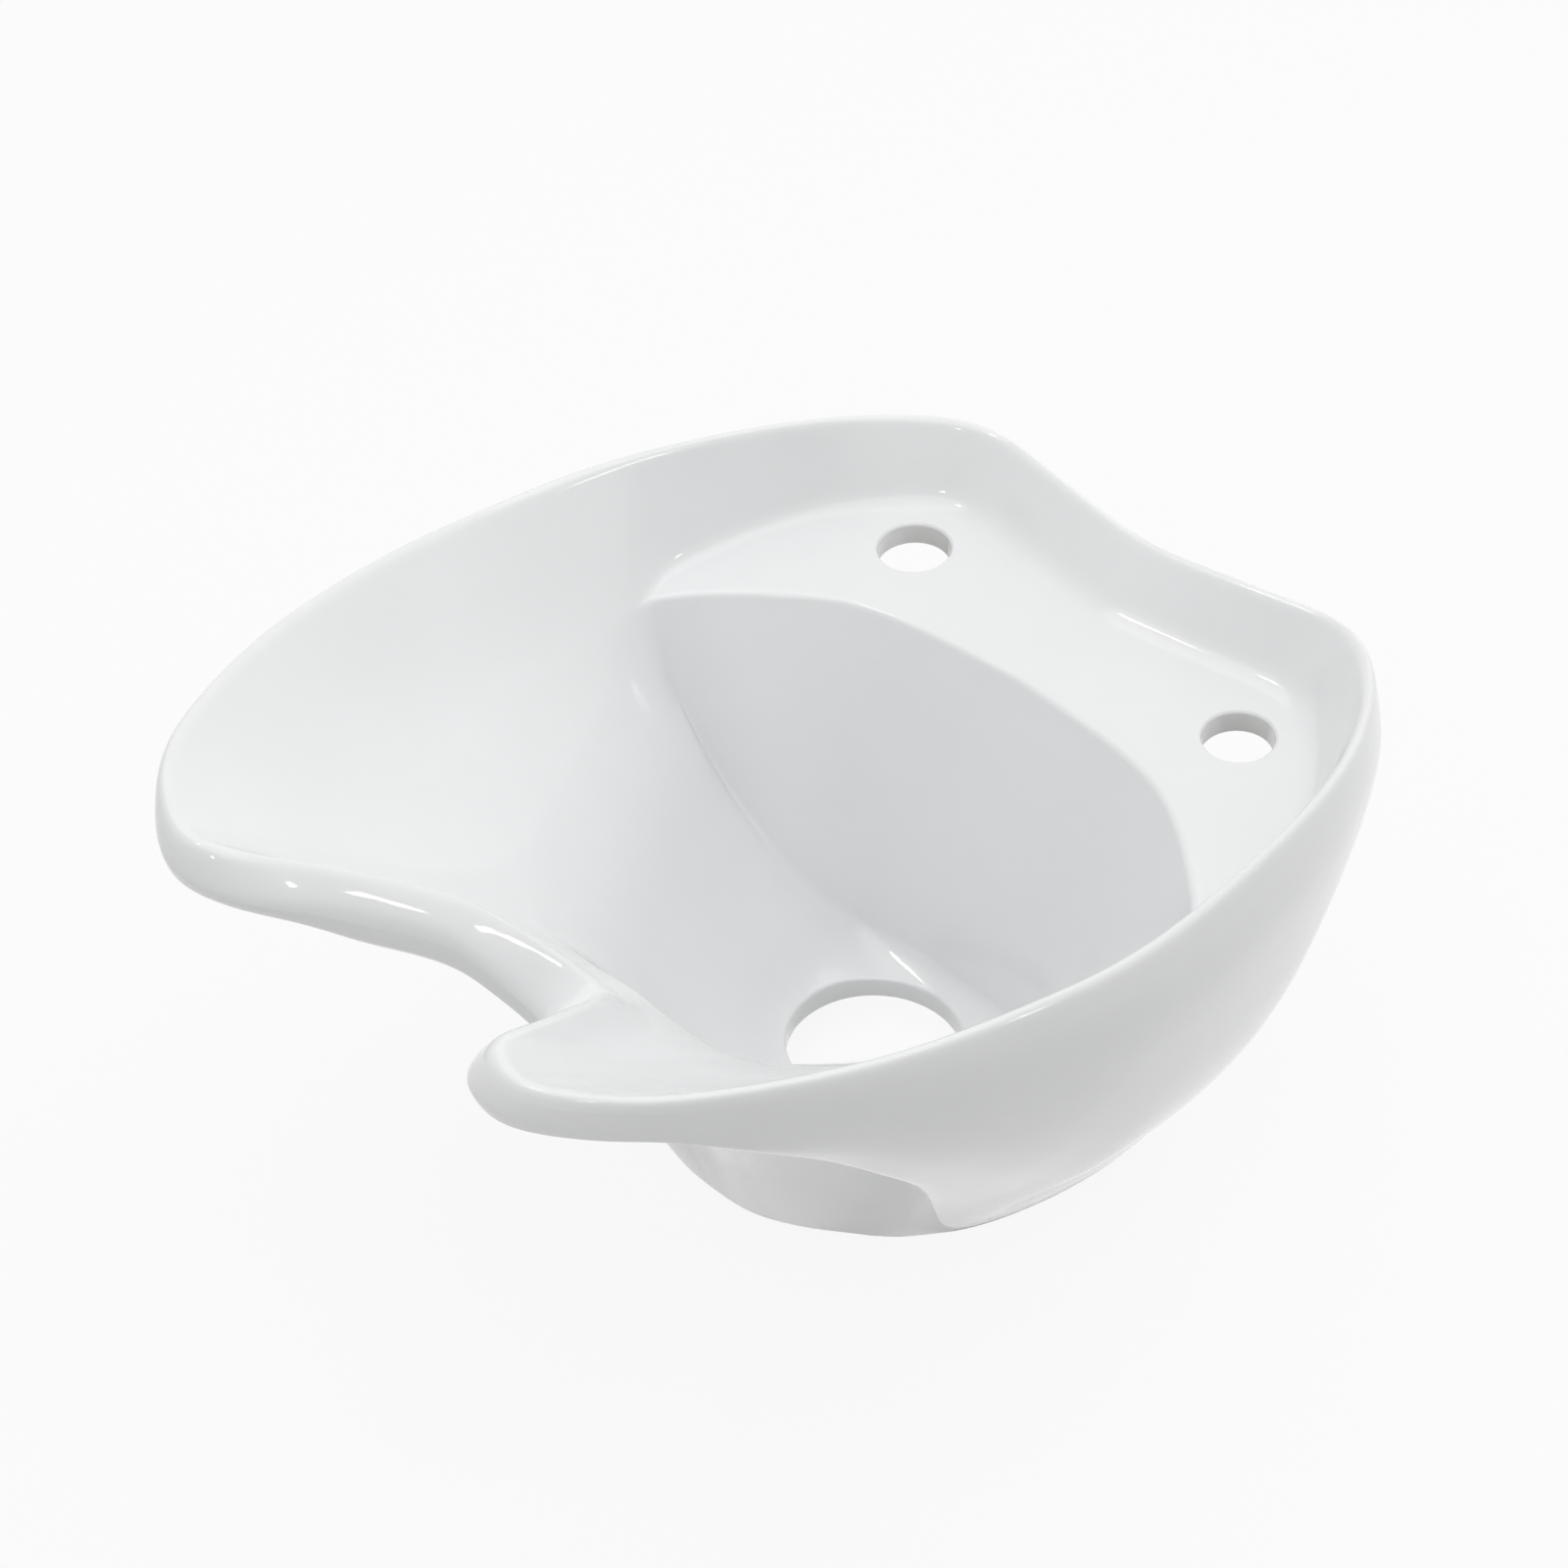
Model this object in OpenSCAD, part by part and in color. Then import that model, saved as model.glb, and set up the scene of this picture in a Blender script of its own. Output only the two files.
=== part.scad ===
// Salon shampoo basin with a neck notch: one glazed vitreous-china casting on an open foot.
// X runs across the basin, Y from the neck notch (-) to the tap shelf (+), Z up.
// The origin is on the axis of the waste hole, in the plane the foot stands on.

/* [Overall size] */
// Width over the outside of the basin at its widest.
overall_width = 437; // [410:1:480]
// Length from the tips of the horns to the rear of the band.
overall_length = 517; // [490:1:560]
// Height from the foot to the top of the horns.
overall_height = 283; // [270:1:300]

/* [China] */
// Thickness of the china in the shell, the band and the skirt.
wall = 11; // [9:0.5:12]
// Height of the basin floor above the foot.
floor_z = 25; // [22:0.5:28]

/* [Waste] */
// Bore of the waste hole.
waste_d = 86; // [80:1:88]

/* [Tap shelf] */
// Bore of the hole for the mixer tap, on the left.
mixer_d = 36; // [32:0.5:38]
// Bore of the hole for the hand shower, on the right.
shower_d = 34; // [30:0.5:38]
// Distance between the centres of the two tap holes.
tap_spacing = 206; // [190:1:214]
// Distance of the tap holes behind the axis of the waste hole.
tap_y = 130; // [124:1:136]
// Height of the shelf at the tap holes.
shelf_z = 200; // [194:1:206]
// Slope of the shelf toward the bowl, in degrees, so that it drains.
shelf_slope = 4; // [2:0.5:6]

/* [Fixing] */
// Diameter of the four bosses behind the foot of the skirt.
boss_d = 26; // [24:1:26]
// Height of the bosses above the foot.
boss_h = 32; // [30:1:36]
// Distance from the outside of the skirt's foot to the axis of a fixing screw.
fixing_inset = 13; // [12.5:0.25:14]
// Distance between the front and the rear pair of fixing screws.
fixing_y = 40; // [36:1:44]
// Outside diameter of a threaded insert.
insert_d = 12; // [11:0.5:13]
// Length of a threaded insert.
insert_l = 22; // [18:1:24]
// Core diameter of the thread in an insert, 6.8 for M8.
thread_core_d = 6.8; // [5:0.1:6.8]
// Thickness of the resin the inserts are bedded in.
bed = 2; // [1.5:0.25:2.5]

/* [Hidden] */
china = "white";
resin = "lightgray";
brass = "goldenrod";
cut = 1;
round_fn = 32;
// Thickness of the closed end of an insert.
insert_end = 3;

// Scale of the guide curves, which are drawn at 437 x 517 x 283.
size_k = [overall_width / 437, overall_length / 517, overall_height / 283];
// Stations round the rim run from 0 at the neck to 14 at the rear; the left half mirrors them.
last_station = 14;
tip_station = 9;
// Steps between stations, finer at the neck and where the skirt comes down to the foot.
step = [[0, 0.25], [1, 0.5], [7.5, 0.25], [9.5, 0.5]];

// Guide curves: each row is a station and a point on the right half of the basin.
// Inner edge of the rolled lip: neck, horn (3 to 5), side, rear corner (11), rear hollow.
lip_curve = [
    [0, 0, -170, 172], [1, 40, -202, 214], [2, 66, -257, 253], [3, 82, -298, 278],
    [4, 109, -307, 282], [5, 151, -276, 283], [6, 186, -204, 276], [7, 203, -129, 268],
    [8, 208, -60, 260], [9, 200, 20, 255], [10, 180, 100, 246], [11, 150, 157, 240],
    [12, 113, 187, 237], [13, 58, 183, 234], [14, 0, 178, 231]
];
// Soft ridge between the funnel and the wing, ending below the tip of the tap shelf.
ridge_curve = [
    [0, 0, -160, 157], [1, 28, -150, 148], [2, 51, -136, 141], [3, 70, -119, 138], [4, 86, -99, 138],
    [5, 100, -79, 140], [6, 114, -57, 144], [7, 129, -33, 147], [8, 142, -8, 148], [9, 155, 17, 147]
];
// Middle of the wing between that ridge and the lip, ending at the tip of the tap shelf.
wing_curve = [
    [0, 0, -164, 163], [1, 32, -168, 171], [2, 56, -178, 181], [3, 74, -181, 185], [4, 94, -172, 188],
    [5, 118, -148, 190], [6, 140, -109, 190], [7, 155, -68, 189], [8, 165, -26, 189], [9, 171, 16, 192]
];
// Front edge of the tap shelf, in plan, from its tip to the centre.
brow_curve = [
    [9, 171, 16], [9.5, 160, 32], [10, 141, 50], [11, 106, 75], [12, 76, 85], [13, 40, 89.5], [14, 0, 92]
];
// Foot of the wall behind the tap shelf, in plan, from the tip to the centre.
shelf_back_curve = [
    [9, 171.5, 17], [9.15, 178, 23], [9.5, 181, 42], [10, 171, 87], [10.6, 152, 128],
    [11, 132, 150], [11.5, 114, 166], [12, 98, 169], [13, 53, 164], [14, 0, 156]
];
// Crease where the wall below the shelf meets the funnel.
crease_curve = [
    [9, 155, 17, 147], [9.25, 143, 18.5, 124], [9.5, 130, 21, 106], [10, 98, 25.5, 76],
    [11, 66, 37, 50], [12, 44, 44, 40], [13, 22, 46, 41], [14, 0, 46.5, 44]
];
// Middle of the funnel wall, all round the waste hole.
funnel_curve = [
    [0, 0, -103, 55], [2, 35, -91, 59], [4, 60, -69, 65], [6, 82, -41, 74], [7, 93, -24, 79],
    [8, 100, -7, 81], [8.5, 102, 2.5, 81], [9, 101, 10, 78], [9.25, 97, 13.5, 72], [9.5, 90, 16, 64.5],
    [10, 74, 19.5, 50.5], [11, 54, 30, 38.5], [12, 38.5, 38.5, 32], [14, 0, 44, 30]
];
// Lower edge of the band that hangs below the wing, where it turns into the leading edge of the skirt.
skirt_edge_curve = [
    [5, 155, -279, 261], [5.5, 172, -243, 240], [6, 168, -205, 207], [6.5, 167, -170, 172],
    [7, 157, -138, 135], [7.5, 138, -106, 90], [8, 119, -81, 50], [8.5, 100, -58, 8]
];
// Where the apron round the funnel meets the underside: 0 to 1 up the funnel, 1 to 2 along the wing.
apron_reach = [[0, 0.8], [1, 0.77], [2, 0.88], [3, 1], [4, 1.12], [5, 1.22], [8.5, 1.3]];
// Lower outer edge: the foot, then the rear edge of the skirt, then the band under the shelf.
base_curve = [
    [0, 0, -109, 0], [2, 23, -107, 0], [4, 44, -98, 0], [6, 65, -84, 0], [7, 77, -75, 0],
    [8, 89, -62, 0], [8.5, 97, -50, 0], [9, 109, -24, 0], [9.5, 119, 20, 0], [9.8, 121, 50, 0],
    [10, 122, 70, 6], [10.4, 138, 107, 70], [10.7, 151, 134, 130], [11, 154, 157, 168],
    [11.5, 134, 185, 174], [12, 111, 196, 174], [13, 60, 193, 174], [14, 0, 188, 172]
];
// Bearing of the basin floor's edge from the neck, in degrees.
floor_bearing = [
    [0, 0], [2, 20], [4, 40], [6, 63], [8, 86], [9, 96.3], [10, 104.6], [11, 119], [12, 135],
    [13, 154], [14, 180]
];
// Radius of the basin floor's edge.
floor_radius = [[0, 46], [9, 46], [11, 43], [14, 41.5]];
// How far the outside bulges beyond the lip, and how far below the lip it does so.
bulge = [
    [0, 33, 5], [1, 22, 10], [2, 16, 14], [3, 16, 14], [4, 10, 10], [5, 6, 11], [6, 8, 16],
    [7, 11, 24], [8, 13, 30], [9, 13, 32], [10, 11, 32], [11, 12, 30], [12, 11, 26], [14, 10, 22]
];
// How far the band's lower edge lies outside and below the lip, from the neck to the side of the horn.
band = [[0, 35, 17], [1, 19, 32], [2, 11, 35], [3, 11, 25], [4, 8, 21], [5, 5, 22]];
// Height at which the hollow behind the skirt ends, down to the underside of the shelf.
hollow_z = [[7.2, 222], [9, 220], [9.4, 203], [9.8, 190]];

// Values of a row without its station.
function values(row) = [for (k = [1:len(row) - 1]) row[k]];

// Index of the curve piece that holds station u.
function piece(rows, u, i = 0) =
    i >= len(rows) - 2 || u < rows[i + 1][0] ? i : piece(rows, u, i + 1);

// Mean rate of change over piece i of a guide curve.
function chord(rows, i) = (values(rows[i + 1]) - values(rows[i])) / (rows[i + 1][0] - rows[i][0]);

// Rate of change at row i, so that neighbouring pieces meet smoothly at uneven spacing.
function rate(rows, i) =
    let (n = len(rows) - 1)
    i == 0 ? 1.5 * chord(rows, 0) - 0.5 * (n > 1 ? rate(rows, 1) : chord(rows, 0)) :
    i == n ? 1.5 * chord(rows, n - 1) - 0.5 * (n > 1 ? rate(rows, n - 1) : chord(rows, 0)) :
    let (before = rows[i][0] - rows[i - 1][0], after = rows[i + 1][0] - rows[i][0])
    (chord(rows, i - 1) * after + chord(rows, i) * before) / (before + after);

// Point of a guide curve at station u, by cubic interpolation between its rows.
function guide(rows, u) =
    let (
        v = max(rows[0][0], min(rows[len(rows) - 1][0], u)),
        i = piece(rows, v),
        h = rows[i + 1][0] - rows[i][0],
        t = (v - rows[i][0]) / h
    )
    (1 + t * t * (2 * t - 3)) * values(rows[i]) + t * (1 - t) * (1 - t) * h * rate(rows, i)
    + t * t * (3 - 2 * t) * values(rows[i + 1]) + t * t * (t - 1) * h * rate(rows, i + 1);

// Smooth step from 0 to 1 as u goes from a to b.
function ease(u, a, b) = let (t = max(0, min(1, (u - a) / (b - a)))) t * t * (3 - 2 * t);

function mix(a, b, t) = a + (b - a) * t;
function mix_legs(a, b, c, t) = t < 1 ? mix(a, b, t) : mix(b, c, t - 1);
function unit(v) = v / norm(v);
function scaled(p) = [p.x * size_k.x, p.y * size_k.y, p.z * size_k.z];
function placed(rows, u) = scaled(guide(rows, u));
function mirrored(row, about) = [about - row[0], -row[1], row[2], row[3]];

// The lip curve carried on past both ends, so that it crosses the centre plane squarely.
lip_rows = concat(
    [mirrored(lip_curve[2], 0), mirrored(lip_curve[1], 0)], lip_curve,
    [mirrored(lip_curve[13], 2 * last_station), mirrored(lip_curve[12], 2 * last_station)]
);

// Horizontal direction of the lip at station u, and the one pointing out of the basin. At the neck
// it turns straight forward, so that the two flanks of the notch don't cross.
function along(u) = let (d = placed(lip_rows, u + 0.02) - placed(lip_rows, u - 0.02)) unit([d.x, d.y, 0]);
function outward(u) = let (a = along(u)) unit(mix([0, -1, 0], [a.y, -a.x, 0], ease(u, 0, 1.6)));

// Point of the sloping tap shelf above a plan position.
function on_shelf(p) = [
    p.x * size_k.x, p.y * size_k.y, shelf_z + (p.y * size_k.y - tap_y) * tan(shelf_slope)
];

// Corner b of a section moved out of the china by one wall, mitred between its two faces.
function under(a, b, c, ta, tb) =
    let (
        na = -unit(cross(unit(b - a), ta)),
        nb = -unit(cross(unit(c - b), tb))
    )
    b + wall * (na + nb) / max(0.45, 1 + na * nb);

// Corners of the section at station u, each with the distance at which its rounding starts
// and the number of chords that rounding is drawn with.
function corners(u) =
    let (
        rear = u >= tip_station,
        up = [0, 0, 1],
        lip = placed(lip_rows, u),
        t_lip = along(u),
        out = outward(u),
        bearing = guide(floor_bearing, u)[0],
        radius = guide(floor_radius, u)[0] - 43 + waste_d / 2,
        centre = [0, 0, floor_z],
        floor_edge = [radius * sin(bearing), -radius * cos(bearing), floor_z],
        brow = rear ? on_shelf(guide(brow_curve, u)) : placed(wing_curve, u),
        wing = mix(brow, lip, 0.05 + 0.4 * ease(u, tip_station, 6)) - 7 * ease(u, tip_station, 6) * up,
        shelf_back = rear ? on_shelf(guide(shelf_back_curve, u)) : wing,
        mid = placed(funnel_curve, u),
        crease = placed(rear ? crease_curve : ridge_curve, u),
        bul = guide(bulge, u),
        ban = guide(band, u),
        lip_out = lip + 5 * out + 0.3 * up,
        side = lip + bul[0] * out - bul[1] * up,
        base = let (b = placed(base_curve, u)) [b.x, b.y, max(0, b.z)],
        foot = ease(u, 8.1, 8.6),
        close = ease(u, 5.8, 7.8),
        edge_front = u < 5 ? lip + ban[0] * out - ban[1] * up : placed(skirt_edge_curve, u),
        end = mix(edge_front, base, foot),
        belly = [mix(end.x, side.x, 0.74), mix(end.y, side.y, 0.74), mix(end.z, side.z, 0.44)],
        edge = mix(edge_front, mix(belly, base, 0.93), foot),
        edge_back = edge_front - 0.9 * wall * (1 - 0.9 * ease(u, 7, 8.5)) * out + up,
        edge_in = mix(edge_back, mix(belly, base, 0.945), foot),
        wing_under = lip - 4 * out - (wall + 5) * up,
        pocket = mix(mix(wing_under, edge_back + 6 * up, close), mix(belly, base, 0.96), foot),
        base_in = base - wall * base_out(u),
        t_in = let (r = unit([brow.x, brow.y, 0])) [-r.y, r.x, 0],
        t_mid = unit(t_in + t_lip),
        u_floor = under(centre, floor_edge, mid, t_in, t_in),
        u_mid = under(floor_edge, mid, crease, t_in, t_in),
        u_crease = under(mid, crease, brow, t_in, t_in),
        u_brow = under(crease, brow, shelf_back, t_in, t_mid),
        u_back = under(brow, shelf_back, lip, t_mid, t_lip),
        a = guide(apron_reach, u)[0],
        junction = mix_legs(u_mid, u_brow, wing_under, a),
        apron = mix(junction, edge_back + 2 * up - 3 * out, close),
        apron_top = mix(apron, mix(belly, base, 0.975), foot),
        girth = mix(mix(base, apron, 0.5), mix(belly, base, 0.99), foot),
        apron_dir = unit(junction - base),
        inward = unit(u_mid - junction - apron_dir * ((u_mid - junction) * apron_dir)),
        gap_mid = (u_mid - junction) * inward,
        gap_brow = (u_brow - junction) * inward,
        r = max(0.2, min(0.92, (gap_mid - 1.5 * wall) / (gap_mid - gap_brow))),
        inner_top = mix(u_mid, u_brow, r) - 0.5 * wall * inward,
        shelf_under = shelf_z - wall + (side.y - wall - tap_y) * tan(shelf_slope),
        skirt_z = mix(guide(hollow_z, u)[0], shelf_under, ease(u, 9.4, 9.8)),
        skirt_t = max(0, min(1.2, (side.z - skirt_z) / (side.z - belly.z))),
        skirt_top = let (q = mix(side, belly, skirt_t) - 1.1 * wall * out) [q.x, q.y, skirt_z],
        h = ease(u, 7.4, 8.6),
        k = ease(u, 8.2, 8.9),
        hollow = mix(inner_top, skirt_top, h),
        soft = ease(u, tip_station, 7.5)
    )
    [
        [centre, 0, 0],
        [floor_edge, 12, 2],
        [mid, 40 - 25 * ease(u, tip_station, 11), 5],
        [crease, 5 + 40 * soft, 3],
        [brow, 3 + 45 * soft, 2],
        [shelf_back, rear ? 9 : 6 + 40 * soft, 3],
        [lip, 4, 3],
        [lip_out, 5, 3],
        [side, 20 + 10 * ease(u, 6, 8), 4],
        [belly, 50, 5],
        [edge, 6 + 8 * ease(u, 6, 7.5), 2],
        [edge_in, 5, 2],
        [pocket, 7, 2],
        [apron_top, 8, 2],
        [girth, 25 - 15 * foot, 2],
        [base, 3, 2],
        [base_in, 3, 2],
        [mix(mix(base_in, hollow, 0.5), belly - 1.05 * wall * out - 2 * up, k), 50, 4],
        [hollow, 6, 2],
        [mix(mix(u_mid, u_brow, r), u > 9.6 ? mix(skirt_top, u_brow, 0.1) : u_back, h), 3, 1],
        [mix(mix(u_mid, u_brow, 0.8 * r), u_brow, h), 3, 1],
        [mix(mix(u_mid, u_brow, 0.45 * r), u_crease, h), 6, 1],
        [u_mid, 15, 2],
        [u_floor, 6, 1],
        [centre - wall * up, 0, 0]
    ];

// Direction out of the foot in plan; behind the foot it is that of the lip.
function base_out(u) =
    let (d = placed(base_curve, u + 0.1) - placed(base_curve, u - 0.1))
    u > 9.9 ? outward(u) : unit([d.y, -d.x, 0]);

// Corner b rounded by a parabola that starts and ends at most r away from it.
function rounded(a, b, c, r, n) =
    let (
        p = b + unit(a - b) * min(r, 0.49 * norm(a - b)),
        q = b + unit(c - b) * min(r, 0.49 * norm(c - b))
    )
    [for (j = [0:n]) let (t = j / n) (1 - t) * (1 - t) * p + 2 * t * (1 - t) * b + t * t * q];

// Points of the section at station u, from the floor's centre round the lip to its underside.
function section(u) =
    let (c = corners(u), n = len(c) - 1)
    [for (k = [1:n - 1]) each rounded(c[k - 1][0], c[k][0], c[k + 1][0], c[k][1], c[k][2])];

// Closed shell lofted round the rim through the sections of both halves.
module shell() {
    ends = concat([for (k = [1:len(step) - 1]) step[k][0]], [last_station + step[len(step) - 1][1]]);
    stations = [
        for (k = [0:len(step) - 1])
            for (u = [step[k][0]:step[k][1]:ends[k] - step[k][1] / 2]) u
    ];
    right = [for (u = stations) section(u)];
    n = len(right) - 1;
    left = [for (i = [n - 1:-1:1]) [for (p = right[i]) [-p.x, p.y, p.z]]];
    centred = [for (i = [0:n]) i == 0 || i == n ? [for (p = right[i]) [0, p.y, p.z]] : right[i]];
    rings = concat(centred, left);
    count = len(rings);
    m = len(rings[0]);
    points = concat([[0, 0, floor_z]], [for (r = rings) each r], [[0, 0, floor_z - wall]]);
    bottom = len(points) - 1;
    function at(i, j) = 1 + (i % count) * m + j;
    faces = [
        for (i = [0:count - 1]) each concat(
            [[0, at(i + 1, 0), at(i, 0)], [bottom, at(i, m - 1), at(i + 1, m - 1)]],
            [for (j = [0:m - 2]) each [
                [at(i, j), at(i + 1, j), at(i + 1, j + 1)],
                [at(i, j), at(i + 1, j + 1), at(i, j + 1)]
            ]]
        )
    ];
    polyhedron(points = points, faces = faces, convexity = 12);
}

// Distance across the basin between the fixing screws.
fixing_x = 2 * (placed(base_curve, tip_station).x - fixing_inset);

// Positions of the four fixing screws.
module at_fixings() {
    for (x = [-1, 1] * fixing_x / 2)
        for (y = [-1, 1] * fixing_y / 2)
            translate([x, y, 0]) children();
}

// Bosses the inserts are set in; the rear pair stands clear of the skirt and is webbed to it.
module bosses() {
    skirt_x = placed(base_curve, tip_station + 0.5).x - wall / 2;
    at_fixings() cylinder(d = boss_d, h = boss_h, $fn = round_fn);
    for (side = [0, 1])
        mirror([side, 0, 0])
            translate([fixing_x / 2, fixing_y / 2 - wall / 2, 0])
                cube([skirt_x - fixing_x / 2, wall, boss_h]);
}

// Bore through the tap shelf, x from the centre plane.
module tap_hole(x, d) {
    translate([x, tap_y, shelf_z]) cylinder(d = d, h = 4 * wall, center = true, $fn = 48);
}

// The china: shell, fixing bosses, waste and tap holes.
module bowl() {
    socket_d = insert_d + 2 * bed;
    color(china)
    difference() {
        union() {
            shell();
            bosses();
        }
        cylinder(d = waste_d, h = 2 * floor_z, $fn = 72);
        tap_hole(-tap_spacing / 2, mixer_d);
        tap_hole(tap_spacing / 2, shower_d);
        at_fixings()
            translate([0, 0, -cut])
                cylinder(d = socket_d, h = insert_l + bed + cut, $fn = round_fn);
    }
}

// Resin round each insert and over its closed end.
module insert_bedding() {
    color(resin)
    at_fixings()
    difference() {
        cylinder(d = insert_d + 2 * bed, h = insert_l + bed, $fn = round_fn);
        translate([0, 0, -cut]) cylinder(d = insert_d, h = insert_l + cut, $fn = round_fn);
    }
}

// Threaded brass inserts, closed at the top.
module threaded_inserts() {
    color(brass)
    at_fixings()
    difference() {
        cylinder(d = insert_d, h = insert_l, $fn = round_fn);
        translate([0, 0, -cut]) cylinder(d = thread_core_d, h = insert_l - insert_end + cut, $fn = round_fn);
    }
}

bowl();
insert_bedding();
threaded_inserts();
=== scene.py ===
"""Salon shampoo basin: the glazed china bowl, its fixing inserts, and a plain studio round it."""

import math

import bpy
import numpy as np
from bpy.props import FloatProperty, FloatVectorProperty, IntProperty, PointerProperty
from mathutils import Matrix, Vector


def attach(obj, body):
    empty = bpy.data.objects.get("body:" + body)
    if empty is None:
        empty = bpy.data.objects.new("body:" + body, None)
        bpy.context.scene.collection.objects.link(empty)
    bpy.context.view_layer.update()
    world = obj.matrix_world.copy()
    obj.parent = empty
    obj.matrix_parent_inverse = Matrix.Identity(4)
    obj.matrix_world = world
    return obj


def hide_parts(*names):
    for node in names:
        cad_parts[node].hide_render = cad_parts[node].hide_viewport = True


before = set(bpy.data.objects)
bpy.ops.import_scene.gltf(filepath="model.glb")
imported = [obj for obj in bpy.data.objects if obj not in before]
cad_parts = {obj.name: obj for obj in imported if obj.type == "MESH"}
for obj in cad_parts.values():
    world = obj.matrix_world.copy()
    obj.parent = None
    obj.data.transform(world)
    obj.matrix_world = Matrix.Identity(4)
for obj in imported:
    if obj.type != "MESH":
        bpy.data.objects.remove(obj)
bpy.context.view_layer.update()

bl_info = {
    "name": "Shampoo basin",
    "version": (1, 0, 0),
    "blender": (4, 5, 0),
    "location": "View3D > Sidebar > Basin",
    "description": "Builds a salon shampoo basin with its fixings and a studio",
    "category": "Add Mesh",
}

MM = 0.001

# The china's sizes in millimetres, as the frame has them.
WALL = 11.0
FLOOR_Z = 25.0
WASTE_R = 43.0
SHELF_Z = 200.0
SHELF_SLOPE = math.radians(4.0)
TAP_Y = 130.0
TAPS = [(-103.0, 18.0), (103.0, 17.0)]
BOSS_R = 13.0
BOSS_H = 32.0
WEB_L = 18.0
SOCKET_R = 8.0
SOCKET_DEPTH = 24.0

# Guide curves of the right half, in millimetres: a station, then a point. Stations run round
# the rim from 0 at the neck to 14 at the rear, and the tip of the tap shelf is at 9.
LAST, TIP = 14, 9
LIP = [
    (0, 0, -172, 170.5), (0.35, 14, -179, 183.5), (0.7, 28, -193, 202), (1, 40, -205, 215.5),
    (2, 66, -257, 253), (3, 82, -298, 278), (4, 109, -307, 282),
    (5, 151, -276, 283), (6, 186, -204, 276), (7, 203, -129, 268), (8, 208, -60, 260), (9, 200, 20, 255),
    (10, 180, 100, 246), (11, 150, 157, 240), (12, 113, 187, 237), (13, 58, 183, 234), (14, 0, 178, 231),
]
RIDGE = [
    (0, 0, -150, 157), (1, 28, -147, 149), (2, 51, -136, 141), (3, 70, -119, 138), (4, 86, -99, 138),
    (5, 100, -79, 140), (6, 114, -57, 144), (7, 129, -33, 147), (8, 142, -8, 148), (9, 155, 17, 147),
]
WING = [
    (0, 0, -161, 163.5), (1, 32, -168, 172), (2, 56, -178, 181), (3, 74, -181, 185), (4, 94, -172, 188),
    (5, 118, -148, 190), (6, 140, -109, 190), (7, 155, -68, 189), (8, 165, -26, 189), (9, 171, 16, 192),
]
BROW = [
    (9, 171, 16), (9.5, 160, 32), (10, 141, 50), (11, 106, 75), (12, 76, 85), (13, 40, 89.5), (14, 0, 92),
]
SHELF_BACK = [
    (9, 171.5, 17), (9.15, 178, 23), (9.5, 181, 42), (10, 171, 87), (10.6, 152, 128), (11, 132, 150),
    (11.5, 114, 166), (12, 98, 169), (13, 53, 164), (14, 0, 156),
]
CREASE = [
    (9, 155, 17, 147), (9.25, 143, 18.5, 124), (9.5, 130, 21, 106), (10, 99, 26.5, 75),
    (11, 69, 40, 46.5), (12, 49.5, 49.4, 33.6), (13, 27, 53, 32.5), (14, 0, 54, 33),
]
FUNNEL = [
    (0, 0, -103, 55), (2, 35, -91, 59), (4, 60, -69, 65), (6, 82, -41, 74), (7, 93, -24, 79),
    (8, 100, -7, 81), (8.5, 102, 2.5, 81), (9, 101, 10, 78), (9.25, 97, 13.5, 72), (9.5, 90, 16, 64.5),
    (10, 74, 20, 49.5), (11, 55, 31, 34.5), (12, 41, 41, 28.8), (13, 22, 46, 27.8), (14, 0, 48, 27.8),
]
SKIRT_EDGE = [
    (5, 155, -279, 261), (5.5, 172, -243, 240), (6, 168, -205, 207), (6.5, 167, -170, 172),
    (7, 157, -138, 135), (7.5, 138, -106, 90), (8, 119, -81, 50), (8.5, 100, -58, 8),
]
APRON_REACH = [(0, 0.8), (1, 0.77), (2, 0.88), (3, 1.0), (4, 1.12), (5, 1.22), (8.5, 1.3)]
BASE = [
    (0, 0, -109, 0), (2, 23, -107, 0), (4, 44, -98, 0), (6, 65, -84, 0), (7, 77, -75, 0), (8, 89, -62, 0),
    (8.5, 97, -50, 0), (9, 109, -24, 0), (9.5, 119, 20, 0), (9.8, 121, 50, 0), (10, 122, 70, 6),
    (10.4, 138, 107, 70), (10.7, 151, 134, 130), (11, 154, 157, 168), (11.5, 134, 185, 174),
    (12, 111, 196, 174), (13, 60, 193, 174), (14, 0, 188, 172),
]
FLOOR_BEARING = [
    (0, 0), (2, 20), (4, 40), (6, 63), (8, 86), (9, 96.3), (10, 104.6), (11, 119), (12, 135),
    (13, 154), (14, 180),
]
FLOOR_RADIUS = [(0, 46), (9, 46), (11, 43), (14, 41.5)]
BULGE = [
    (0, 31, 4), (1, 19, 11), (2, 16, 14), (3, 16, 14), (4, 10, 10), (5, 6, 11), (6, 8, 16), (7, 11, 24),
    (8, 13, 30), (9, 13, 32), (10, 11, 32), (11, 12, 30), (12, 11, 26), (14, 10, 22),
]
BAND = [(0, 33, 16), (1, 16, 33), (2, 11, 35), (3, 11, 25), (4, 8, 21), (5, 5, 22)]
HOLLOW_Z = [(7.2, 222), (9, 220), (9.4, 203), (9.8, 190)]
UP = np.array([0.0, 0.0, 1.0])

# Chords that round the corners which the mesh counts its rows by: the floor's edge and the
# funnel's middle at the start of a section, the middle and the floor's edge below at its end.
FLOOR_CHORDS, MID_CHORDS = 5, 10
MID_UNDER_CHORDS, FLOOR_UNDER_CHORDS = 4, 3
# Rows of points added on the funnel between its middle and the crease.
SPARE_ROWS = 8
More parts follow.
